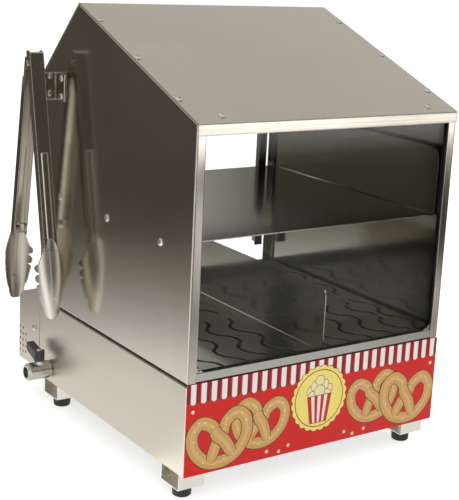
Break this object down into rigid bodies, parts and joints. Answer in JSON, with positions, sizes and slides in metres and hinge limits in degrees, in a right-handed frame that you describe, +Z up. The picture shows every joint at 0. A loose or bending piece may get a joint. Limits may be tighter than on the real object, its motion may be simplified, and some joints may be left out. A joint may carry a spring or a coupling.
{
  "type": "hot dog steamer",
  "caption": "Counter-top hot dog steamer: steam base with a front-glazed cabinet, bun tray, slotted food tray, rear sliding doors, drain valve and hung tongs.",
  "frame": {"origin": "centre of the cabinet's footprint, on the counter that the rubber feet stand on", "axes": "+Z up, +Y from the glazed front to the rear doors, +X to the right of someone who faces the glass"},
  "size_m": [0.3819, 0.4147, 0.4847],
  "materials": {
    "black_plastic": "moulded",
    "bright_steel": "mill-bright stainless sheet",
    "glass": "toughened",
    "grey_plastic": "moulded",
    "heater_sheath": "dull sheath",
    "lamp_lens": "clear amber",
    "plated_brass": "nickel-plated",
    "printed_panel": "gloss print",
    "rubber": "matt",
    "screw_steel": "plain",
    "stainless": "fine brushed"
  },
  "bodies": {
    "casing": {"base_housing": "stainless", "base_plate": "stainless", "casing_screws": "screw_steel", "control_box": "stainless", "cord_gland": "black_plastic", "corner_gussets": "stainless", "drain_elbow": "plated_brass", "drain_nuts": "plated_brass", "foot_bracket_front_left": "stainless", "foot_bracket_front_right": "stainless", "foot_bracket_rear_left": "stainless", "foot_bracket_rear_right": "stainless", "foot_screws": "screw_steel", "front_glass": "glass", "front_graphic": "printed_panel", "front_header": "stainless", "front_sill": "stainless", "glass_gasket": "rubber", "heating_element": "heater_sheath", "left_side_panel": "stainless", "lower_track": "stainless", "pan_glands": "screw_steel", "pilot_lamp": "lamp_lens", "rear_header": "stainless", "rear_sill": "stainless", "right_side_panel": "stainless", "rim_gasket": "rubber", "roof_cover": "stainless", "roof_screws": "screw_steel", "rubber_foot_front_left": "rubber", "rubber_foot_front_right": "rubber", "rubber_foot_rear_left": "rubber", "rubber_foot_rear_right": "rubber", "shelf_rail_left": "bright_steel", "shelf_rail_right": "bright_steel", "shelf_screws": "screw_steel", "switch_body": "black_plastic", "terminal_block": "grey_plastic", "thermostat": "grey_plastic", "thermostat_bulb": "heater_sheath", "tongs_hook": "stainless", "upper_track": "stainless", "valve_body": "plated_brass", "water_pan": "bright_steel"},
    "bun_tray": {"bun_tray": "bright_steel"},
    "steam_tray": {"steam_tray": "bright_steel"},
    "divider": {"divider": "bright_steel"},
    "rear_door_left": {"rear_door_left": "glass", "door_handle_left": "stainless"},
    "rear_door_right": {"rear_door_right": "glass", "door_handle_right": "stainless"},
    "drain_lever": {"valve_lever": "black_plastic", "valve_ball": "plated_brass", "lever_screw": "screw_steel"},
    "thermostat_knob": {"thermostat_knob": "black_plastic"},
    "switch_rocker": {"switch_rocker": "black_plastic"},
    "tongs": {"tongs_front_arm": "bright_steel", "tongs_pin": "screw_steel", "tongs_spring": "screw_steel"},
    "tongs_rear_arm": {"tongs_rear_arm": "bright_steel"}
  },
  "joints": [
    {"name": "bun_tray_lift", "type": "slide", "parent": "casing", "child": "bun_tray", "axis": [0, 0, 1], "range_m": [0, 0.022]},
    {"name": "steam_tray_lift", "type": "slide", "parent": "casing", "child": "steam_tray", "axis": [0, 0, 1], "range_m": [0, 0.04]},
    {"name": "divider_slide", "type": "slide", "parent": "steam_tray", "child": "divider", "axis": [1, 0, 0], "range_m": [-0.15, 0.14]},
    {"name": "rear_door_left_slide", "type": "slide", "parent": "casing", "child": "rear_door_left", "axis": [1, 0, 0], "range_m": [0, 0.135]},
    {"name": "rear_door_right_slide", "type": "slide", "parent": "casing", "child": "rear_door_right", "axis": [1, 0, 0], "range_m": [-0.135, 0]},
    {"name": "drain_lever_turn", "type": "hinge", "parent": "casing", "child": "drain_lever", "pos_m": [-0.1815, 0.1375, 0.0489], "axis": [0, 0, 1], "range_deg": [0, 90]},
    {"name": "thermostat_turn", "type": "hinge", "parent": "casing", "child": "thermostat_knob", "pos_m": [-0.045, 0.2265, 0.087], "axis": [0, -1, 0], "range_deg": [0, 270]},
    {"name": "switch_tilt", "type": "hinge", "parent": "casing", "child": "switch_rocker", "pos_m": [0.062, 0.2265, 0.087], "axis": [0, 0, -1], "range_deg": [0, 16]},
    {"name": "tongs_lift", "type": "slide", "parent": "casing", "child": "tongs", "axis": [-0.96, 0, 0.28], "range_m": [0, 0.06]},
    {"name": "tongs_squeeze", "type": "hinge", "parent": "tongs", "child": "tongs_rear_arm", "pos_m": [-0.195, 0.13185, 0.414], "axis": [-1, 0, 0], "range_deg": [0, 19], "stiffness_Nm_per_rad": 1, "springref_deg": -11.46}
  ]
}
